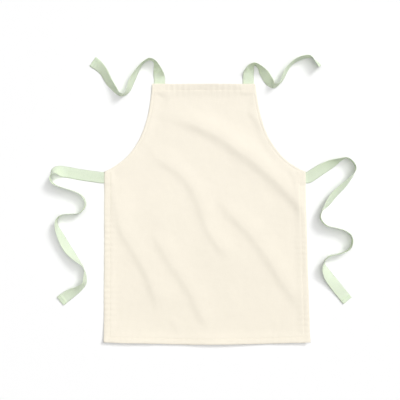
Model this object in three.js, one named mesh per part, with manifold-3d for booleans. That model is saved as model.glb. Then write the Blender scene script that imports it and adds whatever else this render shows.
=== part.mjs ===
// Child's artist apron: a canvas bib panel with four sewn-on twill-tape ties, laid flat, face up.
// Millimetres. +Y runs from the bottom hem to the bib, +Z is up, and left means -X.
// The origin is on the table, under the middle of the panel.

import * as THREE from 'three';
import { mergeVertices } from 'three/addons/utils/BufferGeometryUtils.js';
import Module from 'manifold-3d';

// ---- Driving dimensions ----

const panelLength = 584;
const hemWidth = 462;
const chestWidth = 451;
const bibWidth = 231;
const armholeDepth = 197;
const bottomBow = 5.5;
const lean = 7;
const clothThickness = 0.7;

const topHem = 16;
const bottomHem = 14;
const sideHem = 15;
const armholeHem = 8;
const hemLayers = 3;

const tapeWidth = 25;
const tapeThickness = 0.8;
const neckTieInset = 3.5;
const waistTieDrop = 13.5;
const neckSewnLength = 20;
const waistSewnLength = 17;
const tapeEndHem = 10;
const tapeStep = 7;

// The ties fold on a line just outside the panel's edge, level with the tape's upper face, so that
// a tie can turn up and over the panel.
const foldClearance = 5;
const foldGap = 0.15;

const threadWidth = 0.7;
const threadHeight = 0.5;
const threadInset = 2;
const threadSpacing = 1.5;
const fitGap = 0.3;

// ---- Values that follow from them ----

const hemThickness = hemLayers * clothThickness;
const topY = panelLength / 2;
const bottomY = -panelLength / 2 + bottomBow;
const chestY = topY - armholeDepth;
const waistTieY = chestY - waistTieDrop;
const halfTape = tapeWidth / 2;
const up = new THREE.Vector3(0, 0, 1);

const wasm = await Module();
wasm.setup();

// ---- Materials ----

function cloth(color, roughness) {
  return new THREE.MeshStandardMaterial({ color, roughness, metalness: 0 });
}

const canvas = cloth(0xfcf5e5, 0.92);
const twillTape = cloth(0xdce8cf, 0.88);
const creamThread = cloth(0xf6eddb, 0.75);
const greenThread = cloth(0xd0dfc2, 0.75);

// ---- Helpers ----

function toSolid(geometry) {
  geometry.deleteAttribute('normal');
  geometry.deleteAttribute('uv');
  const merged = mergeVertices(geometry, 1e-4);
  return new wasm.Manifold(new wasm.Mesh({
    numProp: 3,
    vertProperties: merged.attributes.position.array,
    triVerts: new Uint32Array(merged.index.array),
  }));
}

function toGeometry(solid) {
  const mesh = solid.getMesh();
  const geometry = new THREE.BufferGeometry();
  geometry.setAttribute('position', new THREE.BufferAttribute(mesh.vertProperties, 3));
  geometry.setIndex(new THREE.BufferAttribute(mesh.triVerts, 1));
  return geometry;
}

function extrudeFlat(shape, z0, z1) {
  const options = { depth: z1 - z0, bevelEnabled: false, curveSegments: 24 };
  return new THREE.ExtrudeGeometry(shape, options).translate(0, 0, z0);
}

function named(name, geometry, material) {
  const mesh = new THREE.Mesh(geometry, material);
  mesh.name = name;
  return mesh;
}

// The bib lies a little over to the left, so all of the panel is sheared by the lean.
function leanAt(y) {
  return -lean * (y + panelLength / 2) / panelLength;
}

const leanMatrix = new THREE.Matrix4()
  .makeShear(0, 0, -lean / panelLength, 0, 0, 0)
  .setPosition(leanAt(0), 0, 0);

// ---- Panel outline ----

function halfWidthAt(y) {
  const share = (y - bottomY) / (chestY - bottomY);
  return (hemWidth + (chestWidth - hemWidth) * share) / 2;
}

// The right armhole drops almost straight down from the bib's corner, then sweeps out to the side.
const armholeRun = (chestWidth - bibWidth) / 2;
const armholeCurve = new THREE.CubicBezierCurve(
  new THREE.Vector2(bibWidth / 2, topY),
  new THREE.Vector2(bibWidth / 2 + 0.08 * armholeRun, topY - 0.43 * armholeDepth),
  new THREE.Vector2(bibWidth / 2 + 0.25 * armholeRun, topY - 0.82 * armholeDepth),
  new THREE.Vector2(chestWidth / 2, chestY),
);

// A line that runs inside the armhole's edge, between two shares of the curve.
function armholeLine(inset, from = 0, to = 1) {
  const steps = 24;
  return Array.from({ length: steps + 1 }, (_, i) => {
    const share = from + (to - from) * i / steps;
    const along = armholeCurve.getTangent(share);
    return armholeCurve.getPoint(share).add(new THREE.Vector2(along.y, -along.x).multiplyScalar(inset));
  });
}

function mirrored(points, side) {
  return points.map((point) => new THREE.Vector2(side * point.x, point.y));
}

// What is cut away beside the bib, with its edge moved into the panel by the inset.
function armholeCutter(side, inset, z0, z1) {
  const overrun = 60;
  const edge = armholeLine(inset);
  const first = edge[0].clone().addScaledVector(armholeCurve.getTangent(0), -overrun);
  const last = edge.at(-1).clone().addScaledVector(armholeCurve.getTangent(1), overrun);
  const corner = new THREE.Vector2(last.x, first.y);
  const shape = new THREE.Shape(mirrored([first, ...edge, last, corner], side));
  return toSolid(extrudeFlat(shape, z0, z1).applyMatrix4(leanMatrix));
}

// The panel's outline, moved in by the insets, as a slab.
function panelSlab(inset, z0, z1) {
  const low = bottomY + inset.bottom;
  const high = topY - inset.top;
  const lowHalf = halfWidthAt(low) - inset.side;
  const highHalf = halfWidthAt(high) - inset.side;
  const shape = new THREE.Shape();
  shape.moveTo(-lowHalf, low);
  shape.quadraticCurveTo(0, low - 2 * bottomBow, lowHalf, low);
  shape.lineTo(highHalf, high);
  shape.lineTo(-highHalf, high);
  const slab = toSolid(extrudeFlat(shape, z0, z1).applyMatrix4(leanMatrix));
  return slab
    .subtract(armholeCutter(1, inset.armhole, z0 - 1, z1 + 1))
    .subtract(armholeCutter(-1, inset.armhole, z0 - 1, z1 + 1));
}

// ---- Ties ----

// Each tie has the point where its tape crosses the panel's edge, the heading it leaves on, the
// slant of the line that it folds on, and the free tape's route from the edge as [x, y, turn]:
// the tape lies flat at a turn of 0 or 180 degrees and stands on its edge at 90.
const neckTieX = bibWidth / 2 - neckTieInset - halfTape;
const ties = [
  {
    name: 'neck_tie_left',
    edge: [-neckTieX + leanAt(topY), topY],
    heading: 90,
    slant: 26,
    sewnLength: neckSewnLength,
    route: [
      [-1, 17, -8], [-4, 33, -46], [-11, 49, -78], [-22, 54, -86], [-34, 48, -88], [-44, 37, -80],
      [-54, 21, -70], [-63, 3, -64], [-69, -13, -70], [-78, -25, -84], [-89, -24, -76],
      [-100, -12, -60], [-114, 7, -46], [-125, 27, -40], [-137, 40, -24], [-150, 50, -4],
    ],
  },
  {
    name: 'neck_tie_right',
    edge: [neckTieX + leanAt(topY), topY],
    heading: 90,
    slant: -22,
    sewnLength: neckSewnLength,
    route: [
      [0, 15, 4], [1, 26, 20], [5, 37, 56], [14, 43, 82], [25, 36, 72], [35, 23, 44], [47, 5, 42],
      [58, -5, 70], [69, 0, 82], [77, 14, 70], [84, 29, 70], [94, 42, 76], [107, 52, 76],
      [122, 58, 78], [135, 60, 84], [143, 57, 96], [151, 49, 108], [160, 38, 114],
    ],
  },
  {
    name: 'waist_tie_left',
    edge: [-halfWidthAt(waistTieY) + leanAt(waistTieY), waistTieY],
    heading: 180,
    slant: 0,
    sewnLength: waistSewnLength,
    route: [
      [-21, 2, 0], [-55, 7, 0], [-88, 13, 4], [-105, 15, 30], [-115, 11, 68], [-120, 1, 88],
      [-115, -12, 92], [-103, -19, 90], [-85, -25, 88], [-67, -31, 88], [-49, -41, 90],
      [-41, -57, 90], [-45, -70, 90], [-56, -80, 90], [-74, -82, 90], [-91, -83, 90],
      [-103, -90, 92], [-106, -106, 100], [-97, -130, 122], [-80, -161, 130], [-61, -183, 108],
      [-46, -201, 82], [-42, -221, 100], [-44, -237, 108], [-56, -248, 124], [-76, -260, 152],
      [-99, -277, 174],
    ],
  },
  {
    name: 'waist_tie_right',
    edge: [halfWidthAt(waistTieY) + leanAt(waistTieY), waistTieY],
    heading: 0,
    slant: 0,
    sewnLength: waistSewnLength,
    route: [
      [17, 7, 4], [32, 17, 14], [59, 32, 42], [76, 40, 72], [91, 44, 88], [104, 36, 92],
      [111, 21, 94], [106, 8, 100], [97, -4, 112], [84, -18, 124], [64, -37, 130], [48, -58, 122],
      [36, -74, 100], [32, -90, 90], [45, -107, 88], [65, -112, 90], [85, -118, 90], [99, -128, 90],
      [103, -143, 90], [98, -158, 90], [85, -167, 90], [67, -172, 90], [51, -176, 90],
      [41, -188, 96], [41, -202, 122], [50, -220, 152], [65, -240, 168], [81, -260, 174],
      [94, -276, 177],
    ],
  },
];

function slope(tie) {
  return Math.tan(THREE.MathUtils.degToRad(tie.slant));
}

// How far past the panel's edge the fold line crosses the middle of the tape.
function foldReach(tie) {
  return foldClearance + halfTape * Math.abs(slope(tie));
}

function headingOf(tie) {
  const angle = THREE.MathUtils.degToRad(tie.heading);
  return new THREE.Vector3(Math.cos(angle), Math.sin(angle), 0);
}

// A flat piece at a tie's seam, from a shape drawn with +X along the tie's heading.
function atSeam(tie, shape, z0, z1) {
  return extrudeFlat(shape, z0, z1)
    .rotateZ(THREE.MathUtils.degToRad(tie.heading))
    .translate(...tie.edge, 0);
}

function polygon(corners) {
  return new THREE.Shape(corners.map(([x, y]) => new THREE.Vector2(x, y)));
}

function rectangle(x0, x1, halfHeight) {
  return polygon([[x0, -halfHeight], [x1, -halfHeight], [x1, halfHeight], [x0, halfHeight]]);
}

// The hollow under the hem that the sewn end of a tie lies in.
function seatCutter(tie) {
  const seat = rectangle(-tie.sewnLength - fitGap, foldReach(tie), halfTape + fitGap);
  return toSolid(atSeam(tie, seat, -1, tapeThickness + fitGap));
}

function sewnEnd(tie) {
  const reach = foldReach(tie) - foldGap;
  const rise = halfTape * slope(tie);
  return atSeam(tie, polygon([
    [-tie.sewnLength, -halfTape],
    [reach + rise, -halfTape],
    [reach - rise, halfTape],
    [-tie.sewnLength, halfTape],
  ]), 0, tapeThickness);
}

// A stitched rectangle with a cross in it, as one outline with four holes.
function boxStitch(tie) {
  const x0 = -tie.sewnLength + threadInset;
  const x1 = -threadInset;
  const half = halfTape - threadInset;
  const middle = (x0 + x1) / 2;
  const shape = rectangle(x0, x1, half);
  const inner = threadWidth;
  const spread = 1.6 * threadWidth;
  const hole = (corners) => shape.holes.push(new THREE.Path(polygon(corners).getPoints()));
  for (const side of [1, -1]) {
    hole([
      [x0 + inner + spread, side * (half - inner)],
      [x1 - inner - spread, side * (half - inner)],
      [middle, side * spread],
    ]);
  }
  const narrow = spread * (half / (x1 - middle));
  hole([[x0 + inner, half - inner - narrow], [x0 + inner, -half + inner + narrow], [middle - spread, 0]]);
  hole([[x1 - inner, half - inner - narrow], [x1 - inner, -half + inner + narrow], [middle + spread, 0]]);
  return atSeam(tie, shape, hemThickness + fitGap, hemThickness + fitGap + threadHeight);
}

// Cross-sections along a tie's free tape: its middle, and the directions along, across and
// square to the tape. The tape's lower edge, or its flat face, stays on the table.
function tapeSections(tie) {
  const heading = headingOf(tie);
  const start = heading.clone().multiplyScalar(foldReach(tie) + foldGap);
  const stations = [[start.x, start.y, 0], ...tie.route];
  const curve = new THREE.CatmullRomCurve3(stations.map(([x, y]) => new THREE.Vector3(x, y, 0)));
  const steps = Math.round(curve.getLength() / tapeStep);
  const edge = new THREE.Vector3(...tie.edge, 0);
  const sections = Array.from({ length: steps + 1 }, (_, i) => {
    const share = curve.getUtoTmapping(i / steps);
    const place = share * (stations.length - 1);
    const before = Math.min(Math.floor(place), stations.length - 2);
    const degrees = THREE.MathUtils.lerp(stations[before][2], stations[before + 1][2], place - before);
    const turn = THREE.MathUtils.degToRad(degrees);
    const middle = curve.getPoint(share).add(edge);
    middle.z = halfTape * Math.abs(Math.sin(turn)) + tapeThickness / 2 * Math.abs(Math.cos(turn));
    return { middle, turn };
  });
  sections.forEach((section, i) => {
    const previous = sections[Math.max(i - 1, 0)].middle;
    const next = sections[Math.min(i + 1, steps)].middle;
    section.along = i === 0 ? heading : next.clone().sub(previous).normalize();
    const side = up.clone().cross(section.along).normalize();
    const rise = section.along.clone().cross(side);
    section.across = side.multiplyScalar(Math.cos(section.turn)).addScaledVector(rise, Math.sin(section.turn));
    section.square = section.along.clone().cross(section.across);
  });
  return sections;
}

// The free tape: a long box bent through the cross-sections, its first one cut on the fold line.
function freeTape(tie, sections) {
  const steps = sections.length - 1;
  const geometry = new THREE.BoxGeometry(tapeWidth, tapeThickness, steps, 3, 1, steps);
  const position = geometry.attributes.position;
  for (let i = 0; i < position.count; i += 1) {
    const across = position.getX(i);
    const index = Math.round(position.getZ(i) + steps / 2);
    const section = sections[index];
    const point = section.middle.clone()
      .addScaledVector(section.across, across)
      .addScaledVector(section.square, position.getY(i));
    if (index === 0) {
      point.addScaledVector(section.along, -across * slope(tie));
    }
    position.setXYZ(i, point.x, point.y, point.z);
  }
  return geometry;
}

// The stitch line across a tie's turned-under free end, on the face that lies uppermost.
function endStitch(tie, sections) {
  const index = sections.length - 1 - Math.round(tapeEndHem / tapeStep);
  const section = sections[index];
  const face = Math.sign(section.square.z);
  const lift = face * (tapeThickness / 2 + fitGap + threadHeight / 2);
  const length = tapeWidth - 2 * threadInset;
  const mesh = named(`${tie.name}_end_stitch`,
    new THREE.BoxGeometry(length, threadHeight, threadWidth), greenThread);
  mesh.quaternion.setFromRotationMatrix(
    new THREE.Matrix4().makeBasis(section.across, section.square, section.along));
  mesh.position.copy(section.middle).addScaledVector(section.square, lift);
  return mesh;
}

// ---- Hem stitching ----

// A thread that lies on the panel along a line of points.
function threadRun(name, points) {
  const edges = [threadWidth / 2, -threadWidth / 2].map((offset) => points.map((point, i) => {
    const previous = points[Math.max(i - 1, 0)];
    const next = points[Math.min(i + 1, points.length - 1)];
    const along = next.clone().sub(previous).normalize();
    return point.clone().add(new THREE.Vector2(-along.y, along.x).multiplyScalar(offset));
  }));
  const shape = new THREE.Shape([...edges[0], ...edges[1].reverse()]);
  const z0 = hemThickness + fitGap;
  return named(name, extrudeFlat(shape, z0, z0 + threadHeight).applyMatrix4(leanMatrix), creamThread);
}

// The share of the armhole's curve at which a measure of its points first reaches a value.
function armholeShare(measure, value) {
  let low = 0;
  let high = 1;
  for (let i = 0; i < 30; i += 1) {
    const share = (low + high) / 2;
    if (measure(armholeCurve.getPoint(share)) < value) {
      low = share;
    } else {
      high = share;
    }
  }
  return high;
}

function hemStitching() {
  const topLine = topY - topHem + threadInset;
  const topReach = neckTieX - halfTape - threadInset;
  const bottomLine = bottomY + bottomHem - threadInset;
  const bottomReach = halfWidthAt(bottomLine) - threadInset;
  const bottomCurve = new THREE.QuadraticBezierCurve(
    new THREE.Vector2(-bottomReach, bottomLine),
    new THREE.Vector2(0, bottomLine - 2 * bottomBow),
    new THREE.Vector2(bottomReach, bottomLine),
  );
  const runs = [
    threadRun('top_hem_stitching', [
      new THREE.Vector2(-topReach, topLine),
      new THREE.Vector2(topReach, topLine),
    ]),
    threadRun('bottom_hem_stitching', bottomCurve.getPoints(16)),
  ];
  const from = armholeShare((point) => topY - point.y, neckSewnLength + threadSpacing);
  const to = armholeShare((point) => point.x, chestWidth / 2 - waistSewnLength - threadSpacing);
  const sideInset = sideHem - threadInset;
  for (const [label, side] of [['left', -1], ['right', 1]]) {
    const armhole = armholeLine(armholeHem - threadInset, from, to);
    runs.push(threadRun(`armhole_stitching_${label}`, mirrored(armhole, side)));
    const low = bottomLine + threadSpacing;
    const high = waistTieY - halfTape - threadSpacing;
    runs.push(threadRun(`side_hem_stitching_${label}`, [
      new THREE.Vector2(side * (halfWidthAt(low) - sideInset), low),
      new THREE.Vector2(side * (halfWidthAt(high) - sideInset), high),
    ]));
  }
  return runs;
}

// ---- Assembly ----

// One cut piece of canvas. Its hems are turned to the back, so they are thicker underneath.
function bodyPanel() {
  const whole = panelSlab({ top: 0, bottom: 0, side: 0, armhole: 0 }, 0, hemThickness);
  const hems = { top: topHem, bottom: bottomHem, side: sideHem, armhole: armholeHem };
  const hollow = panelSlab(hems, -1, hemThickness - clothThickness);
  const panel = ties.reduce((solid, tie) => solid.subtract(seatCutter(tie)), whole.subtract(hollow));
  return named('body_panel', toGeometry(panel), canvas);
}

const apron = new THREE.Group();
apron.add(bodyPanel(), ...hemStitching());
for (const tie of ties) {
  const sections = tapeSections(tie);
  apron.add(
    named(tie.name, freeTape(tie, sections), twillTape),
    named(`${tie.name}_sewn_end`, sewnEnd(tie), twillTape),
    named(`${tie.name}_box_stitch`, boxStitch(tie), creamThread),
    endStitch(tie, sections),
  );
}

export default apron;
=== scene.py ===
"""Child's bib apron: a cream canvas panel with four pale green twill-tape ties, lying on a table.

Metres. +Y runs from the bottom hem to the bib, +Z is up, and left means -X. Shapes are worked out
in the panel's own pattern, which stands upright, and are then sheared by the apron's slight lean.
"""
import math

import bmesh
import bpy
import numpy as np
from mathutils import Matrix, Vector, geometry, noise


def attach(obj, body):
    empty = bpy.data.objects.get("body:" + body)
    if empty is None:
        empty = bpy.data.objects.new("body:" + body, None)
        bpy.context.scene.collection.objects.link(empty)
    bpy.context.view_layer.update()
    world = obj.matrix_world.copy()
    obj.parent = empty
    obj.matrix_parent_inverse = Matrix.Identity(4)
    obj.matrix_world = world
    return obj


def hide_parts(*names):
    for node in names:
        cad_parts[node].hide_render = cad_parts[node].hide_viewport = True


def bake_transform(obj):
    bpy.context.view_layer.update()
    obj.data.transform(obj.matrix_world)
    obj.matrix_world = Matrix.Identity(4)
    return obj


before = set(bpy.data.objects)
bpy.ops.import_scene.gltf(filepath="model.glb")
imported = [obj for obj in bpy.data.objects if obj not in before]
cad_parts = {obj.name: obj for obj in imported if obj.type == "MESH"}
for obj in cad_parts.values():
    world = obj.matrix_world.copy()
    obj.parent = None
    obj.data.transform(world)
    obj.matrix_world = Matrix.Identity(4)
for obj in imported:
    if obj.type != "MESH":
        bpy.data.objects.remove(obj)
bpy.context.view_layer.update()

bl_info = {
    "name": "Bib apron",
    "version": (1, 0, 0),
    "blender": (4, 5, 0),
    "location": "View3D > Sidebar > Apron",
    "description": "Builds a canvas bib apron with twill-tape ties, lying flat",
    "category": "Add Mesh",
}

# ---- Sizes of the panel's pattern ----

PANEL_LENGTH = 0.584
HEM_WIDTH = 0.462
CHEST_WIDTH = 0.451
BIB_WIDTH = 0.231
ARMHOLE_DEPTH = 0.197
BOTTOM_BOW = 0.0055
LEAN = 0.007
CLOTH = 0.0007
HEM_CLOTH = 3 * CLOTH
HEMS = {"top": 0.016, "bottom": 0.014, "side": 0.015, "armhole": 0.008}
STITCH_INSET = 0.002

TOP_Y = PANEL_LENGTH / 2
BOTTOM_Y = -PANEL_LENGTH / 2 + BOTTOM_BOW
CHEST_Y = TOP_Y - ARMHOLE_DEPTH
WAIST_TIE_Y = CHEST_Y - 0.0135
NECK_TIE_X = BIB_WIDTH / 2 - 0.0035 - 0.0125
TAPE_WIDTH = 0.025
FOLD_CLEARANCE = 0.005

# Each hem's puff, the reach of its puckers, and the height of its edge's curl and how it falls off.
HEM_SHAPES = {
    "top": (0.00032, 0.020, 0.0052, 0.016), "bottom": (0.0006, 0.016, 0.0088, 0.026),
    "side": (0.0005, 0.021, 0.0005, 0.010), "armhole": (0.0004, 0.010, 0.0003, 0.008),
}
STITCH_DIP = 0.00032
STITCH_DIP_REACH = 0.0013
RIM_ROUNDING = 0.0040
HEM_FALL = 0.010
GRID_STEP = 0.0034
EDGE_STEP = 0.003
RUN_STEP = 0.0015
LOWEST_STITCH = 0.0004

# A tie's free end is turned under and sewn down.
TURNED_END = 0.0105
TURNED_LAYERS = 2.4
END_STITCH_INSET = 0.0088
END_STITCH_PITCH = 0.0024
BOX_STITCH_PITCH = 0.0026
BOX_CORNER_GAP = 0.0006
LOWEST_TAPE = 0.00002

# ---- Studio ----

CAMERA_PLACE = (-0.0157, 0.0314)
TABLE_HALF_SIDE = 16.0
TABLE_HEIGHT = -0.0002
# Each light: its name, the setting of its strength, its spread and its turn in degrees.
LIGHTS = (("overhead_light", "overhead", 70, (8, 0, 135)), ("key_light", "key", 18, (48, 0, 135)))
WHITE = (1.0, 1.0, 1.0, 1.0)


def lean_at(y):
    return -LEAN * (y + PANEL_LENGTH / 2) / PANEL_LENGTH


def half_width_at(y):
    share = (y - BOTTOM_Y) / (CHEST_Y - BOTTOM_Y)
    return (HEM_WIDTH + (CHEST_WIDTH - HEM_WIDTH) * share) / 2


# Each tie: its edge point and heading, the slant of its fold line, the length sewn under the hem,
# how far its bend reaches before and after the fold line, and the free tape's route from the edge
# as millimetres and degrees. It lies flat at a turn of 0 or 180 and stands on its edge at 90.
TIES = {
    "neck_tie_left": {
        "edge": (-NECK_TIE_X + lean_at(TOP_Y), TOP_Y), "heading": 90, "slant": 26, "sewn": 0.020,
        "bend": (0.0022, 0.0004),
        "route": [
            (-1, 17, -8), (-4, 33, -46), (-11, 49, -78), (-22, 54, -86), (-34, 48, -88),
            (-44, 37, -80), (-54, 21, -70), (-63, 3, -64), (-69, -13, -70), (-78, -25, -84),
            (-89, -24, -76), (-100, -12, -60), (-114, 7, -46), (-125, 27, -40), (-137, 40, -24),
            (-150, 50, -4),
        ],
    },
    "neck_tie_right": {
        "edge": (NECK_TIE_X + lean_at(TOP_Y), TOP_Y), "heading": 90, "slant": -22, "sewn": 0.020,
        "bend": (0.0022, 0.0015),
        "route": [
            (0, 15, 4), (1, 26, 20), (5, 37, 56), (14, 43, 82), (25, 36, 72), (35, 23, 44),
            (47, 5, 42), (58, -5, 70), (69, 0, 82), (77, 14, 70), (84, 29, 70), (94, 42, 76),
            (107, 52, 76), (122, 58, 78), (135, 60, 84), (143, 57, 96), (151, 49, 108),
            (160, 38, 114),
        ],
    },
    "waist_tie_left": {
        "edge": (-half_width_at(WAIST_TIE_Y) + lean_at(WAIST_TIE_Y), WAIST_TIE_Y),
        "heading": 180, "slant": 0, "sewn": 0.017, "bend": (0.001, 0.006),
        "route": [
            (-21, 2, 0), (-55, 7, 0), (-88, 13, 4), (-105, 15, 30), (-115, 11, 68), (-120, 1, 88),
            (-115, -12, 92), (-103, -19, 90), (-85, -25, 88), (-67, -31, 88), (-49, -41, 90),
            (-41, -57, 90), (-45, -70, 90), (-56, -80, 90), (-74, -82, 90), (-91, -83, 90),
            (-103, -90, 92), (-106, -106, 100), (-97, -130, 122), (-80, -161, 130),
            (-61, -183, 108), (-46, -201, 82), (-42, -221, 100), (-44, -237, 108),
            (-56, -248, 124), (-76, -260, 152), (-99, -277, 174),
        ],
    },
    "waist_tie_right": {
        "edge": (half_width_at(WAIST_TIE_Y) + lean_at(WAIST_TIE_Y), WAIST_TIE_Y),
        "heading": 0, "slant": 0, "sewn": 0.017, "bend": (0.001, 0.006),
        "route": [
            (17, 7, 4), (32, 17, 14), (59, 32, 42), (76, 40, 72), (91, 44, 88), (104, 36, 92),
            (111, 21, 94), (106, 8, 100), (97, -4, 112), (84, -18, 124), (64, -37, 130),
            (48, -58, 122), (36, -74, 100), (32, -90, 90), (45, -107, 88), (65, -112, 90),
            (85, -118, 90), (99, -128, 90), (103, -143, 90), (98, -158, 90), (85, -167, 90),
            (67, -172, 90), (51, -176, 90), (41, -188, 96), (41, -202, 122), (50, -220, 152),
            (65, -240, 168), (81, -260, 174), (94, -276, 177),
        ],
    },
}

# Creases left by storage. Each has its height, the widths of its steep side and of its gentle
# side, and the line of its steep side in millimetres. The gentle side is the one up and right.
CREASES = [
    (6.5, 15, 30, [(-108, 204), (-63, 202), (-18, 186), (27, 164), (63, 137), (94, 115),
                   (126, 88), (157, 61), (184, 34), (202, 11), (211, -29)]),
    (3.2, 12, 24, [(-139, 150), (-117, 123), (-85, 101), (-58, 79), (-36, 47), (-20, 11),
                   (-7, -29), (13, -65), (36, -92), (54, -110)]),
    (4.2, 13, 28, [(18, 43), (36, 11), (63, -20), (90, -47), (117, -83), (144, -123),
                   (166, -159), (189, -191), (207, -218)]),
    (3.4, 12, 30, [(-209, 97), (-211, 43), (-207, -2), (-193, -47), (-171, -83), (-148, -123),
                   (-130, -164), (-117, -204), (-110, -227)]),
    (3.2, 12, 26, [(-135, -34), (-112, -70), (-90, -110), (-63, -146), (-40, -182),
                   (-18, -231), (9, -267)]),
    (1.8, 8, 14, [(85, 231), (97, 221), (108, 209), (121, 186)]),
    (1.3, 7, 12, [(182, 100), (190, 86), (198, 66)]),
    (1.4, 7, 12, [(-112, 277), (-98, 267), (-81, 254)]),
    (1.2, 8, 14, [(-88, -234), (-74, -254), (-64, -270)]),
]

# Stretches of the hems that are drawn up more than the rest: edge, side, middle, half length.
TIGHT_STRETCHES = [
    ("side", -1, -0.056, 0.050), ("side", -1, -0.205, 0.055),
    ("side", 1, -0.076, 0.022), ("side", 1, -0.249, 0.030),
    ("top", 0, -0.060, 0.030), ("top", 0, 0.050, 0.040),
]


# ---- Curves and fields ----

def smoothstep(low, high, value):
    share = np.clip((value - low) / (high - low), 0, 1)
    return share * share * (3 - 2 * share)


def through(stations, step):
    """A centripetal Catmull-Rom curve through the stations, in even steps along its x and y."""
    stations = np.asarray(stations, float)
    first = 2 * stations[0] - stations[1]
    last = 2 * stations[-1] - stations[-2]
    points = np.vstack([first, stations, last])
    gaps = np.sqrt(np.maximum(np.linalg.norm(np.diff(points[:, :2], axis=0), axis=1), 1e-6))
    dense = []
    for i in range(1, len(points) - 2):
        p0, p1, p2, p3 = points[i - 1:i + 3]
        g0, g1, g2 = gaps[i - 1:i + 2]
        m1 = ((p1 - p0) / g0 - (p2 - p0) / (g0 + g1) + (p2 - p1) / g1) * g1
        m2 = ((p2 - p1) / g1 - (p3 - p1) / (g1 + g2) + (p3 - p2) / g2) * g1
        t = np.linspace(0, 1, 24, endpoint=False)[:, None]
        dense.append((2 * t**3 - 3 * t**2 + 1) * p1 + (t**3 - 2 * t**2 + t) * m1
                     + (3 * t**2 - 2 * t**3) * p2 + (t**3 - t**2) * m2)
    dense = np.vstack(dense + [stations[-1:]])
    lengths = travelled(dense[:, :2])
    count = max(int(round(lengths[-1] / step)), 2)
    marks = np.linspace(0, lengths[-1], count + 1)
    return np.column_stack([np.interp(marks, lengths, dense[:, k]) for k in range(dense.shape[1])])


def travelled(line):
    """The length along a line to each of its points."""
    return np.concatenate([[0], np.cumsum(np.linalg.norm(np.diff(line, axis=0), axis=1))])


def to_line(points, line):
    """For each point: distance to the line, length along it, and on which side (+ is the left)."""
    best = np.full(len(points), np.inf)
    along = np.zeros(len(points))
    side = np.ones(len(points))
    start = 0.0
    for a, b in zip(line[:-1], line[1:]):
        run = b - a
        length = np.hypot(*run)
        rel = points - a
        share = np.clip(rel @ run / length**2, 0, 1)
        off = rel - share[:, None] * run
        distance = np.hypot(off[:, 0], off[:, 1])
        nearer = distance < best
        best[nearer] = distance[nearer]
        along[nearer] = start + share[nearer] * length
        side[nearer] = np.where(run[0] * rel[nearer, 1] - run[1] * rel[nearer, 0] >= 0, 1, -1)
        start += length
    return best, along, side


def soft_noise(points, size, seed):
    offset = Vector((17.3 * seed, -9.1 * seed, 3.7 * seed))
    return np.array([noise.noise(Vector((x / size, y / size, 0)) + offset) for x, y in points])


def armhole_line(step=EDGE_STEP):
    run = (CHEST_WIDTH - BIB_WIDTH) / 2
    corners = np.array([
        (BIB_WIDTH / 2, TOP_Y),
        (BIB_WIDTH / 2 + 0.08 * run, TOP_Y - 0.43 * ARMHOLE_DEPTH),
        (BIB_WIDTH / 2 + 0.25 * run, TOP_Y - 0.82 * ARMHOLE_DEPTH),
        (CHEST_WIDTH / 2, CHEST_Y),
    ])
    t = np.linspace(0, 1, 200)[:, None]
    weights = ((1 - t)**3, 3 * t * (1 - t)**2, 3 * t**2 * (1 - t), t**3)
    return even(sum(weight * corner for weight, corner in zip(weights, corners)), step)


def even(line, step):
    """The same line with its points at even distances."""
    lengths = travelled(line)
    marks = np.linspace(0, lengths[-1], max(int(round(lengths[-1] / step)), 1) + 1)
    return np.column_stack([np.interp(marks, lengths, column) for column in line.T])


def bottom_line(y, reach, step=EDGE_STEP):
    t = np.linspace(0, 1, 80)[:, None]
    corners = np.array([(-reach, y), (0, y - 2 * BOTTOM_BOW), (reach, y)])
    return even((1 - t)**2 * corners[0] + 2 * t * (1 - t) * corners[1] + t**2 * corners[2], step)


def panel_edges():
    """The outline's edges in order round the panel, with the cloth on the left of each."""
    low = half_width_at(BOTTOM_Y)
    armhole = armhole_line()
    mirror = np.array([-1, 1])
    side = even(np.array([(low, BOTTOM_Y), (CHEST_WIDTH / 2, CHEST_Y)]), EDGE_STEP)
    top = even(np.array([(BIB_WIDTH / 2, TOP_Y), (-BIB_WIDTH / 2, TOP_Y)]), EDGE_STEP)
    return [
        ("bottom", 0, bottom_line(BOTTOM_Y, low)),
        ("side", 1, side),
        ("armhole", 1, armhole[::-1]),
        ("top", 0, top),
        ("armhole", -1, armhole * mirror),
        ("side", -1, side[::-1] * mirror),
    ]


EDGES = panel_edges()


def sheared(points):
    """Pattern points where they lie on the table."""
    out = np.array(points, float)
    out[:, 0] += lean_at(out[:, 1])
    return out


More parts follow.
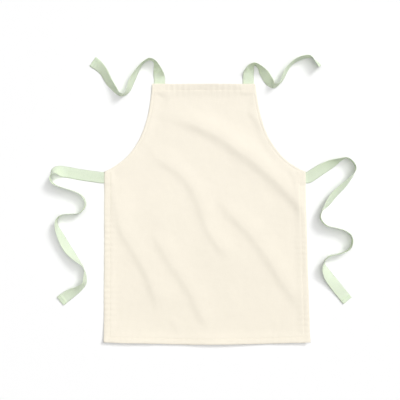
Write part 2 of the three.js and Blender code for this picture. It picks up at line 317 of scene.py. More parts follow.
def panel_heights(points, settings):
    """The heights of the panel's face and back over points of its pattern."""
    count = len(points)
    table = sheared(points)
    hem = np.zeros(count)
    rise = np.zeros(count)
    relief = np.zeros(count)
    rim = np.full(count, np.inf)
    lift = np.zeros(count)
    for index, (kind, side, line) in enumerate(EDGES):
        width = HEMS[kind]
        puff, pucker_reach, curl, fall = HEM_SHAPES[kind]
        distance, along, _ = to_line(points, line)
        place = points[:, 0] if kind in ("top", "bottom") else points[:, 1]
        inside = smoothstep(width + 0.0003, width - 0.0003, distance)
        beyond = np.maximum(distance - width, 0)
        hem = np.maximum(hem, inside)
        rise = np.maximum(rise, np.exp(-(beyond / HEM_FALL)**2))
        rim = np.minimum(rim, distance)

        # The hem is puffed between its fold and its stitching, and drawn in along the stitching.
        stitching = width - STITCH_INSET
        share = np.clip(distance / stitching, 0, 1)
        swell = 0.75 + 0.5 * np.sin(along / 0.0092 + 2.1 * index) * np.sin(along / 0.0213 + index)
        bump = puff * np.sin(math.pi * share**0.8)**2 * swell
        groove = STITCH_DIP * np.exp(-((distance - stitching) / STITCH_DIP_REACH)**2)
        relief += (bump - groove) * np.where(distance < width + 0.004, 1, 0)

        # Puckers run across the hem and die out in the panel.
        strength = 0.35
        for tight, at_side, middle, reach in TIGHT_STRETCHES:
            if (tight, at_side) == (kind, side):
                strength = strength + 0.75 * np.exp(-((place - middle) / reach)**4)
        wander = 0.9 * np.sin(along / 0.041 + index)
        wave = (np.sin(2 * math.pi * along / 0.0131 + wander)
                + 0.45 * np.sin(2 * math.pi * along / 0.0067 + 2.3 * wander + distance / 0.004))
        relief += (settings.pucker_height * strength * wave
                   * np.exp(-(distance / pucker_reach)**2))

        # The free edges curl up off the table.
        uneven = 0.8 + 0.25 * np.sin(along / 0.033 + 1.7 * index)
        lift += curl * uneven * np.exp(-distance / fall)

    face = CLOTH + 0.00008 + (HEM_CLOTH - CLOTH) * rise

    for height, steep, gentle, line in CREASES:
        line = through(np.array(line) / 1000, 0.006)
        distance, along, at_left = to_line(table, line)
        length = travelled(line)[-1]
        across = distance * at_left - steep / 1000 / math.sqrt(2)
        width = np.where(across < 0, steep, gentle) / 1000
        ends = smoothstep(0, 0.22, along / length) * smoothstep(1, 0.86, along / length)
        fold = height / 1000 * np.exp(-(across / width)**2) * ends
        calm = smoothstep(0, 0.020, rim)
        face += settings.crease_height * fold * (0.35 + 0.65 * calm)

    face += 0.0010 * (0.5 + soft_noise(table, 0.085, 1)) * smoothstep(0.008, 0.045, rim)
    face += 0.00016 * soft_noise(table, 0.012, 2) + 0.00030 * soft_noise(table, 0.031, 3)
    face += relief + lift

    # Over a tie's sewn end the hem lies higher by the tape's thickness.
    for tie in TIES.values():
        along, across = seam_frame(tie, table)
        seat = (smoothstep(TAPE_WIDTH / 2 + 0.0040, TAPE_WIDTH / 2 + 0.0005, np.abs(across))
                * smoothstep(-tie["sewn"] - 0.0045, -tie["sewn"] - 0.0005, along))
        held = 1 - 0.75 * seat
        face = face * held + (1 - held) * np.minimum(face, HEM_CLOTH + 0.0006) + 0.0010 * seat

    thickness = CLOTH + (HEM_CLOTH - CLOTH) * hem
    face = np.maximum(face, thickness + 0.00002)
    rounded = np.sqrt(np.clip(1 - (1 - np.clip(rim / RIM_ROUNDING, 0, 1))**2, 0, 1))
    middle = face - thickness / 2
    return middle + thickness / 2 * rounded, middle - thickness / 2 * rounded


def directions(tie, turn=0):
    """A tie's heading on the table, turned by some degrees, and the direction to its left."""
    angle = math.radians(tie["heading"] + turn)
    heading = np.array([math.cos(angle), math.sin(angle)])
    return heading, np.array([-heading[1], heading[0]])


def seam_frame(tie, points):
    """How far points on the table lie along a tie's heading from the edge, and across it."""
    heading, side = directions(tie)
    rel = points - np.array(tie["edge"])
    return rel @ heading, rel @ side


# ---- Node helpers ----

class Nodes:
    """Adds nodes to a tree. An input's value may be a number, a colour or another node's output."""

    def __init__(self, tree):
        self.tree = tree
        self.count = 0

    def add(self, kind, values=(), **settings):
        node = self.tree.nodes.new(kind)
        node.location = (180 * (self.count % 8), -220 * (self.count // 8))
        self.count += 1
        for key, value in settings.items():
            setattr(node, key, value)
        return self.put(node, values)

    def put(self, node, values):
        for key, value in dict(values).items():
            if isinstance(value, bpy.types.NodeSocket):
                self.tree.links.new(value, node.inputs[key])
            else:
                node.inputs[key].default_value = value
        return node

    def math(self, operation, *values, clamp=False):
        node = self.add("ShaderNodeMath", enumerate(values), operation=operation, use_clamp=clamp)
        return node.outputs[0]

    def mix(self, share, first, second, blend="MIX"):
        node = self.add("ShaderNodeMix", {}, data_type="RGBA", blend_type=blend)
        return self.put(node, {0: share, 6: first, 7: second}).outputs[2]


def new_group(name, inputs, outputs):
    """A shader node group with float or vector inputs, and its nodes."""
    group = bpy.data.node_groups.new(name, "ShaderNodeTree")
    for label, kind, value in inputs:
        socket = group.interface.new_socket(label, in_out="INPUT", socket_type=kind)
        if value is not None:
            socket.default_value = value
    for label, kind in outputs:
        group.interface.new_socket(label, in_out="OUTPUT", socket_type=kind)
    nodes = Nodes(group)
    return group, nodes, nodes.add("NodeGroupInput"), nodes.add("NodeGroupOutput")


def plain_weave_group():
    """One yarn over, one under. Height is 0 to 1, and Yarn tells thicker yarns from thinner."""
    group, n, given, result = new_group(
        "plain_weave",
        [("Pattern", "NodeSocketVector", None), ("Yarn Pitch", "NodeSocketFloat", 0.0006)],
        [("Height", "NodeSocketFloat"), ("Yarn", "NodeSocketFloat")])
    split = n.add("ShaderNodeSeparateXYZ", {0: given.outputs["Pattern"]})
    pitch = given.outputs["Yarn Pitch"]
    u = n.math("DIVIDE", split.outputs[0], pitch)
    v = n.math("DIVIDE", split.outputs[1], pitch)
    heights = []
    for across, along, flip in ((u, v, 0.0), (v, u, 1.0)):
        cell = n.math("FLOOR", across)
        round_top = n.math("SINE", n.math("MULTIPLY", n.math("FRACT", across), math.pi))
        phase = n.math("ADD", n.math("SUBTRACT", n.math("SUBTRACT", along, 0.5), cell), flip)
        over = n.math("COSINE", n.math("MULTIPLY", phase, math.pi))
        raised = n.math("MULTIPLY_ADD", over, 0.42, 0.58)
        heights.append(n.math("MULTIPLY", round_top, raised))
    height = n.math("MAXIMUM", *heights)
    streaks = []
    for stretch in ((1.0, 0.045, 1.0), (0.045, 1.0, 1.0)):
        scaled = n.add("ShaderNodeVectorMath", {0: given.outputs["Pattern"], 1: stretch},
                       operation="MULTIPLY")
        cloud = n.add("ShaderNodeTexNoise", {"Vector": scaled.outputs[0], "Scale": 900.0,
                                             "Detail": 1.0})
        streaks.append(cloud.outputs["Fac"])
    yarn = n.math("MULTIPLY", n.math("ADD", *streaks), 0.5)
    n.put(result, {"Height": height, "Yarn": yarn})
    return group


def herringbone_group():
    """Twill ribs that lean one way and then the other across the tape, in columns."""
    group, n, given, result = new_group(
        "herringbone_twill",
        [("Pattern", "NodeSocketVector", None), ("Rib Pitch", "NodeSocketFloat", 0.0011),
         ("Column Width", "NodeSocketFloat", 0.0031)],
        [("Height", "NodeSocketFloat"), ("Column Line", "NodeSocketFloat")])
    split = n.add("ShaderNodeSeparateXYZ", {0: given.outputs["Pattern"]})
    across, along = split.outputs[0], split.outputs[1]
    column = given.outputs["Column Width"]
    share = n.math("PINGPONG", across, column)
    rib = n.math("DIVIDE", n.math("ADD", along, share), given.outputs["Rib Pitch"])
    ridge = n.math("SINE", n.math("MULTIPLY", rib, 2 * math.pi))
    pick = n.math("SINE", n.math("MULTIPLY", along, 2 * math.pi / 0.00042))
    height = n.math("ADD", n.math("MULTIPLY_ADD", ridge, 0.36, 0.5),
                    n.math("MULTIPLY", pick, 0.12))
    near = n.math("DIVIDE", n.math("MINIMUM", share, n.math("SUBTRACT", column, share)), column)
    line = n.math("SUBTRACT", 1.0, n.math("MULTIPLY", near, 9.0), clamp=True)
    sunk = n.math("SUBTRACT", height, n.math("MULTIPLY", line, 0.3))
    n.put(result, {"Height": sunk, "Column Line": line})
    return group


def handled_cloth_group():
    """A soft unevenness of tone, as washed cotton has: 0 where dullest and 1 where cleanest."""
    group, n, given, result = new_group(
        "handled_cloth",
        [("Place", "NodeSocketVector", None), ("Patch Size", "NodeSocketFloat", 0.06)],
        [("Tone", "NodeSocketFloat")])
    scale = n.math("DIVIDE", 1.0, given.outputs["Patch Size"])
    broad = n.add("ShaderNodeTexNoise", {"Vector": given.outputs["Place"], "Scale": scale,
                                         "Detail": 3.0, "Roughness": 0.55})
    fine = n.add("ShaderNodeTexNoise", {"Vector": given.outputs["Place"],
                                        "Scale": n.math("MULTIPLY", scale, 14.0), "Detail": 2.0})
    tone = n.math("ADD", n.math("MULTIPLY", broad.outputs["Fac"], 0.7),
                  n.math("MULTIPLY", fine.outputs["Fac"], 0.3))
    n.put(result, {"Tone": tone})
    return group


def group_node(n, name, values):
    return n.put(n.add("ShaderNodeGroup", {}, node_tree=bpy.data.node_groups[name]), values)


def new_material(name, roughness, sheen):
    material = bpy.data.materials.new(name)
    material.use_nodes = True
    material.node_tree.nodes.clear()
    n = Nodes(material.node_tree)
    shader = n.add("ShaderNodeBsdfPrincipled", {
        "Roughness": roughness, "Specular IOR Level": 0.25, "Sheen Weight": sheen,
        "Sheen Roughness": 0.5})
    n.add("ShaderNodeOutputMaterial", {"Surface": shader.outputs[0]})
    return material, n, shader


def shade(color, factor):
    return tuple(min(channel * factor, 1.0) for channel in color[:3]) + (1.0,)


def canvas_material(settings):
    material, n, shader = new_material("woven_canvas", 0.9, 0.08)
    pattern = n.add("ShaderNodeUVMap", uv_map="pattern").outputs[0]
    place = n.add("ShaderNodeTexCoord").outputs["Object"]
    weave = group_node(n, "plain_weave", {"Pattern": pattern, "Yarn Pitch": settings.yarn_pitch})
    tone = group_node(n, "handled_cloth", {"Place": place, "Patch Size": 0.075})
    base = tuple(settings.canvas_color) + (1.0,)
    cloud = n.mix(tone.outputs["Tone"], shade(base, 0.955), shade(base, 1.045))
    # The canvas's colour is darker towards the bottom hem.
    y = n.add("ShaderNodeSeparateXYZ", {0: place}).outputs[1]
    low = n.math("MULTIPLY_ADD", y, -2.2, 0.35, clamp=True)
    darker_towards_bottom = n.mix(n.math("MULTIPLY", low, 0.75), cloud, (0.93, 0.925, 0.90, 1.0), "MULTIPLY")
    yarns = n.mix(weave.outputs["Yarn"], shade(base, 0.93), shade(base, 1.06))
    mixed = n.mix(0.35, darker_towards_bottom, yarns)
    # Painted shade: the colour is darkened where the weave lies low, in the hollows between the
    # yarns.
    gaps = n.math("SUBTRACT", 1.0, n.math("MULTIPLY", weave.outputs["Height"], 1.25), clamp=True)
    color = n.mix(n.math("MULTIPLY", gaps, 0.22), mixed, (0.80, 0.74, 0.62, 1.0), "MULTIPLY")
    n.put(shader, {"Base Color": color})
    bump = n.add("ShaderNodeBump", {"Height": weave.outputs["Height"], "Strength": 0.55,
                                    "Distance": 0.00018})
    n.put(shader, {"Normal": bump.outputs[0]})
    return material


def tape_material(settings):
    material, n, shader = new_material("herringbone_tape", 0.86, 0.08)
    n.put(shader, {"Subsurface Weight": 0.5, "Subsurface Radius": (1.0, 1.0, 0.9),
                   "Subsurface Scale": 0.0015})
    pattern = n.add("ShaderNodeUVMap", uv_map="pattern").outputs[0]
    place = n.add("ShaderNodeTexCoord").outputs["Object"]
    twill = group_node(n, "herringbone_twill", {"Pattern": pattern})
    tone = group_node(n, "handled_cloth", {"Place": place, "Patch Size": 0.03})
    base = tuple(settings.tape_color) + (1.0,)
    cloud = n.mix(tone.outputs["Tone"], shade(base, 0.94), shade(base, 1.06))
    # Painted shade: the colour is darkened in the hollows between the twill ribs and along the
    # column lines.
    ribs = n.math("SUBTRACT", 0.85, twill.outputs["Height"], clamp=True)
    color = n.mix(n.math("MULTIPLY", ribs, 0.45), cloud, (0.72, 0.78, 0.66, 1.0), "MULTIPLY")
    # Painted shade: a darker band along both selvedges stands in for the shade on the tape's
    # rounded, curled edges.
    across = n.add("ShaderNodeSeparateXYZ", {0: pattern}).outputs[0]
    rim = n.math("GREATER_THAN", n.math("ABSOLUTE", across), TAPE_WIDTH / 2 - 0.0012)
    color = n.mix(n.math("MULTIPLY", rim, 0.5), color, (0.90, 0.93, 0.88, 1.0), "MULTIPLY")
    n.put(shader, {"Base Color": color})
    bump = n.add("ShaderNodeBump", {"Height": twill.outputs["Height"], "Strength": 0.6,
                                    "Distance": 0.00020})
    n.put(shader, {"Normal": bump.outputs[0]})
    return material


def thread_material(name, color):
    material, n, shader = new_material(name, 0.7, 0.1)
    place = n.add("ShaderNodeTexCoord").outputs["Object"]
    twist = n.add("ShaderNodeTexWave", {"Vector": place, "Scale": 2200.0, "Distortion": 2.0},
                  wave_type="BANDS", bands_direction="DIAGONAL")
    tone = group_node(n, "handled_cloth", {"Place": place, "Patch Size": 0.012})
    # Painted shade: the colour is darker in the twist's grooves than on its plies.
    ply_groove_shade = n.mix(twist.outputs["Fac"], shade(color, 0.88), shade(color, 1.05))
    n.put(shader, {"Base Color": n.mix(tone.outputs["Tone"], ply_groove_shade, color)})
    bump = n.add("ShaderNodeBump", {"Height": twist.outputs["Fac"], "Strength": 0.4,
                                    "Distance": 0.00008})
    n.put(shader, {"Normal": bump.outputs[0]})
    return material


def table_material():
    material, n, shader = new_material("table_top", 0.6, 0.0)
    place = n.add("ShaderNodeTexCoord").outputs["Object"]
    grain = n.add("ShaderNodeTexNoise", {"Vector": place, "Scale": 40.0, "Detail": 4.0})
    color = n.mix(grain.outputs["Fac"], (0.94, 0.94, 0.94, 1.0), (0.95, 0.95, 0.95, 1.0))
    n.put(shader, {"Base Color": color})
    return material


def material_named(name, settings):
    """Each material and node group is built when it is first asked for."""
    if name in bpy.data.materials:
        return bpy.data.materials[name]
    for group, build in (("plain_weave", plain_weave_group),
                         ("herringbone_twill", herringbone_group),
                         ("handled_cloth", handled_cloth_group)):
        if group not in bpy.data.node_groups:
            build()
    if name == "woven_canvas":
        return canvas_material(settings)
    if name == "herringbone_tape":
        return tape_material(settings)
    cream = name == "cream_sewing_thread"
    color = settings.cream_thread_color if cream else settings.green_thread_color
    return thread_material(name, tuple(color) + (1.0,))


# ---- Mesh helpers ----

def new_piece(name, points, faces, material, pattern=None, smooth=True):
    """A mesh object at the origin. The pattern is a point of the flat cloth for each vertex."""
    mesh = bpy.data.meshes.new(name)
    mesh.from_pydata([tuple(p) for p in points], [], faces)
    mesh.update()
    if pattern is not None:
        layer = mesh.uv_layers.new(name="pattern")
        loops = np.empty(len(mesh.loops), dtype=np.int64)
        mesh.loops.foreach_get("vertex_index", loops)
        layer.data.foreach_set("uv", np.asarray(pattern, np.float32)[loops].ravel())
    mesh.polygons.foreach_set("use_smooth", np.full(len(mesh.polygons), smooth))
    piece = bpy.data.objects.new(name, mesh)
    bpy.context.scene.collection.objects.link(piece)
    piece.data.materials.append(material)
    return piece


def stitch_tree():
    """Lays arched stitches along the edges of a mesh. The up attribute says which way they face."""
    tree = bpy.data.node_groups.new("stitch_run", "GeometryNodeTree")
    for label, kind, value in (
            ("Geometry", "NodeSocketGeometry", None), ("Pitch", "NodeSocketFloat", 0.0032),
            ("Stitch Length", "NodeSocketFloat", 0.0027),
            ("Thread Width", "NodeSocketFloat", 0.0005),
            ("Arch", "NodeSocketFloat", 0.0003), ("Waver", "NodeSocketFloat", 0.05),
            ("Seed", "NodeSocketInt", 7), ("Material", "NodeSocketMaterial", None)):
        socket = tree.interface.new_socket(label, in_out="INPUT", socket_type=kind)
        if value is not None:
            socket.default_value = value
    tree.interface.new_socket("Geometry", in_out="OUTPUT", socket_type="NodeSocketGeometry")
    n = Nodes(tree)
    given = n.add("NodeGroupInput").outputs
    result = n.add("NodeGroupOutput")
    line = n.add("GeometryNodeMeshToCurve", {"Mesh": given["Geometry"]})
    run = n.add("GeometryNodeResampleCurve", {"Curve": line.outputs[0], "Length": given["Pitch"]},
                mode="LENGTH")
    up = n.add("GeometryNodeInputNamedAttribute", {"Name": "up"}, data_type="FLOAT_VECTOR")
    tangent = n.add("GeometryNodeInputTangent")
    stand = n.add("FunctionNodeAlignRotationToVector",
                  {"Vector": up.outputs["Attribute"]}, axis="Z")
    aim = n.add("FunctionNodeAlignRotationToVector",
                {"Rotation": stand.outputs[0], "Vector": tangent.outputs[0]},
                axis="X", pivot_axis="Z")
    waver = n.add("FunctionNodeRandomValue", {"Seed": given["Seed"]}, data_type="FLOAT")
    n.put(waver, {2: n.math("MULTIPLY", given["Waver"], -1.0), 3: given["Waver"]})
    spin = n.add("ShaderNodeCombineXYZ", {"Z": waver.outputs[1]})
    turned = n.add("FunctionNodeRotateRotation", {
        "Rotation": aim.outputs[0], "Rotate By": spin.outputs[0]}, rotation_space="LOCAL")
    half = n.math("MULTIPLY", given["Stitch Length"], 0.5)
    back = n.math("MULTIPLY", half, -1.0)
    sink = n.math("MULTIPLY", given["Arch"], -1.0)
    starts = n.add("ShaderNodeCombineXYZ", {"X": back, "Z": sink})
    ends = n.add("ShaderNodeCombineXYZ", {"X": half, "Z": sink})
    tops = n.add("ShaderNodeCombineXYZ", {"Z": n.math("MULTIPLY", given["Arch"], 2.0)})
    arch = n.add("GeometryNodeCurveQuadraticBezier", {
        "Resolution": 5, "Start": starts.outputs[0], "Middle": tops.outputs[0],
        "End": ends.outputs[0]})
    radius = n.math("MULTIPLY", given["Thread Width"], 0.5)
    ring = n.add("GeometryNodeCurvePrimitiveCircle", {"Resolution": 6})
    n.put(ring, {"Radius": radius})
    stitch = n.add("GeometryNodeCurveToMesh", {
        "Curve": arch.outputs[0], "Profile Curve": ring.outputs[0], "Fill Caps": True})
    placed = n.add("GeometryNodeInstanceOnPoints", {
        "Points": run.outputs[0], "Instance": stitch.outputs[0], "Rotation": turned.outputs[0]})
    real = n.add("GeometryNodeRealizeInstances", {0: placed.outputs[0]})
    finished = n.add("GeometryNodeSetMaterial", {
        "Geometry": real.outputs[0], "Material": given["Material"]})
    n.put(result, {0: finished.outputs[0]})
    return tree


def stitched_piece(name, runs, material, settings, pitch=None):
    """A plain mesh of stitches along runs, each a list of points and the ways up at them."""
    tree = bpy.data.node_groups.get("stitch_run") or stitch_tree()
    points = np.vstack([run for run, _ in runs])
    ups = np.vstack([up for _, up in runs])
    edges = []
    start = 0
    for run, _ in runs:
        edges += [(start + i, start + i + 1) for i in range(len(run) - 1)]
        start += len(run)
    guide = bpy.data.meshes.new(name + "_guide")
    guide.from_pydata([tuple(p) for p in points], edges, [])
    attribute = guide.attributes.new("up", "FLOAT_VECTOR", "POINT")
    attribute.data.foreach_set("vector", ups.astype(np.float32).ravel())
    holder = bpy.data.objects.new(name + "_guide", guide)
    bpy.context.scene.collection.objects.link(holder)
    modifier = holder.modifiers.new("stitches", "NODES")
    modifier.node_group = tree
    values = {
        "Pitch": pitch or settings.stitch_pitch,
        "Stitch Length": 0.86 * (pitch or settings.stitch_pitch),
        "Thread Width": settings.thread_width, "Arch": 0.55 * settings.thread_width,
        "Material": material}
    for item in tree.interface.items_tree:
        if item.in_out == "INPUT" and item.name in values:
            modifier[item.identifier] = values[item.name]
    bpy.context.view_layer.update()
    graph = bpy.context.evaluated_depsgraph_get()
    mesh = bpy.data.meshes.new_from_object(holder.evaluated_get(graph))
    mesh.name = name
    mesh.polygons.foreach_set("use_smooth", np.full(len(mesh.polygons), True))
    bpy.data.objects.remove(holder)
    bpy.data.meshes.remove(guide)
    piece = bpy.data.objects.new(name, mesh)
    bpy.context.scene.collection.objects.link(piece)
    if not len(mesh.polygons):
        raise RuntimeError(name + " has no stitches")
    return piece


# ---- Panel ----

def panel_points():
    """The outline's loop, and points inside it that follow the hems and fill the middle."""
    inner = []
    for kind, _, line in EDGES:
        width = HEMS[kind]
        run = np.gradient(line, axis=0)
        inward = np.column_stack([-run[:, 1], run[:, 0]]) / np.linalg.norm(run, axis=1)[:, None]
        insets = [0.00015, 0.0004, 0.0008, 0.0012, 0.002, 0.0032]
        insets += list(np.arange(0.005, width - 0.0035, 0.0018))
        insets += [width - 0.0032, width - 0.0026, width - 0.002, width - 0.0014, width - 0.0008,
                   width - 0.0003, width + 0.0003, width + 0.0014, width + 0.0032]
        for inset in insets:
            candidates = line + inset * inward
            inner.append(candidates[nearest_edge(candidates) > inset - 0.00002])
    rows = np.arange(BOTTOM_Y - BOTTOM_BOW, TOP_Y, GRID_STEP * 0.866)
    columns = np.arange(-HEM_WIDTH / 2, HEM_WIDTH / 2, GRID_STEP)
    x, y = np.meshgrid(columns, rows)
    x = x + (np.arange(len(rows)) % 2)[:, None] * GRID_STEP / 2
    grid = np.column_stack([x.ravel(), y.ravel()])
    clear = np.full(len(grid), np.inf)
    for kind, _, line in EDGES:
        distance, _, _ = to_line(grid, line)
        clear = np.minimum(clear, distance - HEMS[kind])
    inner.append(grid[(clear > 0.0055) & inside_outline(grid)])
    return outline_loop(), np.vstack(inner)


def outline_loop():
    return np.vstack([line[:-1] for _, _, line in EDGES])


def nearest_edge(points):
    return np.min([to_line(points, line)[0] for _, _, line in EDGES], axis=0)


def inside_outline(points):
    """Which points lie inside the outline, by counting the edges to the right of each."""
    loop = outline_loop()
    x, y = points.T
    inside = np.zeros(len(points), bool)
    for a, b in zip(loop, np.roll(loop, -1, axis=0)):
        crosses = (a[1] > y) != (b[1] > y)
        if crosses.any():
            at = a[0] + (y - a[1]) / (b[1] - a[1] + 1e-15) * (b[0] - a[0])
            inside ^= crosses & (x < at)
    return inside


def body_panel(settings):
    loop, inner = panel_points()
    count = len(loop)
    flat = [Vector(p) for p in np.vstack([loop, inner])]
    outline = [(i, (i + 1) % count) for i in range(count)]
    found, _, faces, _, _, _ = geometry.delaunay_2d_cdt(flat, outline, [], 1, 1e-7)
    pattern = np.array([tuple(p) for p in found])
    triangles = np.array([face for face in faces if len(face) == 3])
    a, b, c = (pattern[triangles[:, k]] for k in range(3))
    turn = np.cross(b - a, c - a)
    triangles[turn < 0] = triangles[turn < 0][:, ::-1]

    sides = np.sort(np.vstack([triangles[:, [0, 1]], triangles[:, [1, 2]], triangles[:, [2, 0]]]))
    sides, uses = np.unique(sides, axis=0, return_counts=True)
    on_rim = np.zeros(len(pattern), bool)
    on_rim[sides[uses == 1].ravel()] = True

    face, back = panel_heights(pattern, settings)
    table = sheared(pattern)
    waver = 0.0005 * soft_noise(pattern, 0.028, 5) + 0.0009 * soft_noise(pattern, 0.11, 6)
    middle = table.mean(axis=0)
    outward = (table - middle) / np.linalg.norm(table - middle, axis=1)[:, None]
    table = table + outward * waver[:, None]
    inside = np.flatnonzero(~on_rim)
    below = np.arange(len(pattern))
    below[inside] = len(pattern) + np.arange(len(inside))
    points = np.vstack([np.column_stack([table, face]),
                        np.column_stack([table[inside], back[inside]])])
    faces = np.vstack([triangles, below[triangles[:, ::-1]]]).tolist()
    material = material_named("woven_canvas", settings)
    return new_piece("canvas_panel", points, faces, material,
                     pattern=np.vstack([pattern, pattern[inside]]))


# ---- Ties ----

def fold_reach(tie):
    return FOLD_CLEARANCE + TAPE_WIDTH / 2 * abs(math.tan(math.radians(tie["slant"])))


def tape_sections(tie, settings):
    """The tape's middle line, turn and directions at even steps, from sewn end to free end."""
    heading, _ = directions(tie)
    straight = [(*(heading * reach), 0.0) for reach in (-tie["sewn"], 0.0, fold_reach(tie))]
    free = [(x / 1000, y / 1000, math.radians(turn)) for x, y, turn in tie["route"]]
    line = through(straight + free, settings.section_step)
    line[:, :2] += np.array(tie["edge"])
    turn = line[:, 2]
    turn[np.arange(len(line)) * settings.section_step < tie["sewn"] + fold_reach(tie)] = 0.0
    thickness = np.full(len(line), settings.tape_thickness)
    from_end = (len(line) - 1 - np.arange(len(line))) * settings.section_step
    thickness[from_end < TURNED_END] = TURNED_LAYERS * settings.tape_thickness
    height = (TAPE_WIDTH / 2 * np.abs(np.sin(turn)) + thickness / 2 * np.abs(np.cos(turn))
              + 0.00003)
    middle = np.column_stack([line[:, :2], height])
    along = np.gradient(middle, axis=0)
    along /= np.linalg.norm(along, axis=1)[:, None]
    side = np.cross([0, 0, 1], along)
    side /= np.linalg.norm(side, axis=1)[:, None]
    rise = np.cross(along, side)
    across = side * np.cos(turn)[:, None] + rise * np.sin(turn)[:, None]
    square = np.cross(along, across)
    return {"middle": middle, "across": across, "square": square, "thickness": thickness,
            "turn": turn}


def tape_ring(count=13):
    """The tape's cross-section: shares of the width and of the thickness, round its selvedges."""
    shares = np.linspace(-1, 1, count)
    across = np.sign(shares) * np.abs(shares)**0.8
    edge = np.clip((1 - np.abs(across)) / 0.035, 0, 1)
    thick = np.sqrt(1 - (1 - edge)**2)
    selvedge = 1 + 0.22 * np.exp(-((np.abs(across) - 0.93) / 0.04)**2)
    top = np.column_stack([across, thick * selvedge])
    bottom = top[-2:0:-1] * np.array([1, -1])
    return np.vstack([top, bottom])


def tie_ribbon(name, tie, settings, material):
    s = tape_sections(tie, settings)
    ring = tape_ring(settings.across_count)
    rings, around = len(s["middle"]), len(ring)
    step = settings.section_step
    v = np.arange(rings) * step
    half = TAPE_WIDTH / 2 * ring[None, :, 0] * (1 + 0.010 * np.sin(v / 0.019))[:, None]
    cup = settings.tape_cup * (ring[None, :, 0]**2 - 0.5) * np.abs(np.sin(s["turn"]))[:, None]
    off = ring[None, :, 1] * s["thickness"][:, None] / 2 + cup
    points = (s["middle"][:, None] + s["across"][:, None] * half[..., None]
              + s["square"][:, None] * off[..., None]).reshape(-1, 3)
    points[:, 2] = np.maximum(points[:, 2], LOWEST_TAPE)
    faces = []
    for i in range(rings - 1):
        for k in range(around):
            n = (k + 1) % around
            near, far = i * around, (i + 1) * around
            faces.append((near + k, far + k, far + n, near + n))
    for base, first in ((0, True), ((rings - 1) * around, False)):
        for k in range(around // 2):
            corners = (k, k + 1, around - k - 1, (around - k) % around)
            quad = list(dict.fromkeys(base + corner for corner in corners))
            if len(quad) > 2:
                faces.append(tuple(quad if first else quad[::-1]))
    pattern = np.column_stack([np.tile(half[0], rings), np.repeat(v, around)])
    piece = new_piece(name + "_tape", points, faces, material, pattern=pattern)
    face_out(piece)
    return piece, s


def face_out(piece):
    """Turns a closed mesh's faces outwards."""
    form = bmesh.new()
    form.from_mesh(piece.data)
    bmesh.ops.recalc_face_normals(form, faces=form.faces)
    form.to_mesh(piece.data)
    form.free()


# ---- Settings ----

def length_setting(name, description, default):
    return bpy.props.FloatProperty(
        name=name, description=description, unit="LENGTH", default=default, precision=5)


def strength_setting(name, description, default):
    return bpy.props.FloatProperty(name=name, description=description, default=default)


def color_setting(name, description, default):
    return bpy.props.FloatVectorProperty(
        name=name, description=description, subtype="COLOR", size=3, min=0.0, max=1.0,
        default=default)


class ApronSettings(bpy.types.PropertyGroup):
    """Sizes and colours of the apron's cloth, tape and thread"""
    canvas_color: color_setting("Canvas", "Colour of the cotton canvas", (0.943, 0.886, 0.77))
    yarn_pitch: length_setting("Yarn pitch", "Distance between the canvas yarns", 0.00062)
    crease_height: bpy.props.FloatProperty(
        name="Crease height", description="How high the storage creases stand, as a share",
        subtype="FACTOR", min=0.0, max=2.0, default=0.75)
    pucker_height: length_setting("Pucker height", "Height of the puckers along the hems", 0.00042)
    tape_color: color_setting("Tape", "Colour of the twill tape", (0.80, 0.895, 0.712))
    tape_thickness: length_setting("Tape thickness", "Thickness of the twill tape", 0.0008)
    tape_cup: length_setting("Tape cup", "How far the tape's edges curl where it stands up", 0.0006)
    section_step: length_setting(
        "Section step", "Distance between the tape's cross-sections", 0.002)
    across_count: bpy.props.IntProperty(
        name="Points across", description="Points across one face of the tape", default=13, min=5)
    cream_thread_color: color_setting(
        "Cream thread", "Colour of the panel's thread", (0.93, 0.875, 0.76))
    green_thread_color: color_setting(
        "Green thread", "Colour of the thread at the tape ends", (0.60, 0.71, 0.50))
    stitch_pitch: length_setting("Stitch pitch", "Distance from stitch to stitch", 0.0030)
    thread_width: length_setting("Thread width", "Thickness of the sewing thread", 0.00048)


class StageSettings(bpy.types.PropertyGroup):
    """Camera height and lights of the studio"""
    camera_height: length_setting("Camera height", "Height of the camera over the table", 2.0)
    frame_width: length_setting("Frame width", "Width of table that the camera takes in", 0.898)
    overhead: strength_setting("Overhead light", "Strength of the wide light above", 2.07)
    key: strength_setting("Key light", "Strength of the light from the upper right", 1.38)
    fill: strength_setting("Fill", "Strength of the room's light", 0.108)


# ---- Operators ----

class APRON_OT_stage(bpy.types.Operator):
    """Sets the camera, the lights and the table top"""
    bl_idname = "apron.stage"
    bl_label = "Stage"

    def execute(self, context):
        scene = context.scene
        settings = scene.apron_stage
        camera = bpy.data.cameras.new("camera")
        camera.sensor_width = 36.0
        camera.lens = 36.0 * settings.camera_height / settings.frame_width
        camera.clip_start = 0.01
        holder = bpy.data.objects.new("camera", camera)
        holder.location = (*CAMERA_PLACE, settings.camera_height)
        scene.collection.objects.link(holder)
        scene.camera = holder
        for name, setting, spread, turn in LIGHTS:
            lamp = bpy.data.lights.new(name, "SUN")
            lamp.energy = getattr(settings, setting)
            lamp.angle = math.radians(spread)
            light = bpy.data.objects.new(name, lamp)
            light.rotation_euler = [math.radians(value) for value in turn]
            scene.collection.objects.link(light)
        world = bpy.data.worlds.new("room")
        world.use_nodes = True
        world.node_tree.nodes.clear()
        n = Nodes(world.node_tree)
        light = n.add("ShaderNodeBackground", {"Color": WHITE, "Strength": settings.fill})
        n.add("ShaderNodeOutputWorld", {"Surface": light.outputs[0]})
        scene.world = world
        scene.view_settings.view_transform = "Standard"
        side = TABLE_HALF_SIDE
        corners = [(x * side, y * side, TABLE_HEIGHT)
                   for x, y in ((-1, -1), (1, -1), (1, 1), (-1, 1))]
        table = new_piece("table_top", corners, [(0, 1, 2, 3)], table_material(), smooth=False)
        return {"FINISHED"}


